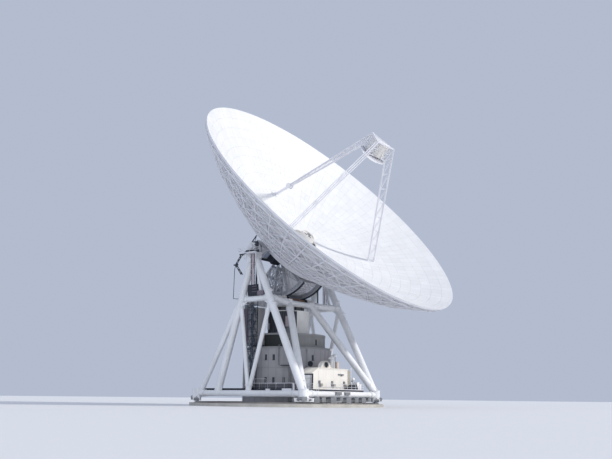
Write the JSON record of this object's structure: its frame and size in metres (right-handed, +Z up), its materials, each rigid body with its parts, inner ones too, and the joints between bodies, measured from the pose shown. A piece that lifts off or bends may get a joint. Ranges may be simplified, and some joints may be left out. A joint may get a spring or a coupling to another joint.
{
  "type": "radio telescope dish, 1:2 scale model",
  "caption": "Fully steerable radio telescope: a large paraboloid with lattice backing and a subreflector on legs, tilting on a tubular frame that turns on a round rail.",
  "frame": {"origin": "on the ground, on the azimuth axis, in the middle of the round rail", "axes": "+Z up along the azimuth axis, X along the elevation axis, dish opening towards -Y and up at rest"},
  "size_m": [32, 26.9203, 32.9611],
  "materials": {
    "concrete": "pale weathered concrete",
    "rail_steel": "worn rolled steel rail",
    "wall_panel": "matt beige-grey wall cladding",
    "roof_grey": "grey roof covering",
    "steel_paint": "satin pale grey-white paint on steel tube",
    "dark_steel": "dark painted steel",
    "cabin_panel": "cream painted sheet metal",
    "reflector_white": "matt white reflector paint",
    "lattice_paint": "satin white paint on lattice steel",
    "drum_grey": "grey painted plate",
    "beige_panel": "beige painted sheet metal"
  },
  "bodies": {
    "foundation": {"foundation_ring": "concrete", "azimuth_rail": "rail_steel", "building_wall_1": "wall_panel", "building_wall_2": "wall_panel", "building_wall_3": "wall_panel", "building_wall_4": "wall_panel", "ground_floor": "concrete", "middle_floor": "concrete", "lower_roof": "roof_grey", "upper_tier": "wall_panel"},
    "alidade": {"bogie_front_left": "steel_paint", "bogie_front_right": "steel_paint", "bogie_rear_left": "steel_paint", "bogie_rear_right": "steel_paint", "front_beam": "steel_paint", "rear_beam": "steel_paint", "side_beam_left": "steel_paint", "side_beam_right": "steel_paint", "front_leg_left": "steel_paint", "rear_leg_left": "steel_paint", "strut_left": "steel_paint", "front_brace_left": "steel_paint", "rear_brace_left": "steel_paint", "front_leg_right": "steel_paint", "rear_leg_right": "steel_paint", "strut_right": "steel_paint", "front_brace_right": "steel_paint", "rear_brace_right": "steel_paint", "mid_frame": "steel_paint", "ring_leg_left": "steel_paint", "ring_leg_right": "steel_paint", "cable_wrap": "drum_grey", "shaft_housing": "cabin_panel", "bearing_left": "steel_paint", "bearing_right": "steel_paint", "side_walkway": "dark_steel", "front_platform": "dark_steel", "cabin_walls": "cabin_panel", "cabin_door": "cabin_panel", "cabin_roof": "cabin_panel", "stair_tower": "dark_steel"},
    "dish": {"reflector_quarter_1": "reflector_white", "reflector_quarter_2": "reflector_white", "reflector_quarter_3": "reflector_white", "reflector_quarter_4": "reflector_white", "backup_quarter_1": "lattice_paint", "backup_quarter_2": "lattice_paint", "backup_quarter_3": "lattice_paint", "backup_quarter_4": "lattice_paint", "elevation_frame": "lattice_paint", "gear_sector_left": "dark_steel", "gear_sector_right": "dark_steel", "counterweight_drum": "drum_grey", "feed_cone": "beige_panel", "subreflector_leg_top": "lattice_paint", "subreflector_leg_left": "lattice_paint", "subreflector_leg_right": "lattice_paint", "top_frame": "lattice_paint", "subreflector": "reflector_white", "subreflector_box": "beige_panel"}
  },
  "joints": [
    {"name": "azimuth_turn", "type": "hinge", "parent": "foundation", "child": "alidade", "pos_m": [0, 0, 0], "axis": [0, 0, 1], "range_deg": [-270, 270]},
    {"name": "elevation_tilt", "type": "hinge", "parent": "alidade", "child": "dish", "pos_m": [0, 0, 16], "axis": [-1, 0, 0], "range_deg": [-32.2, 47.8]}
  ]
}
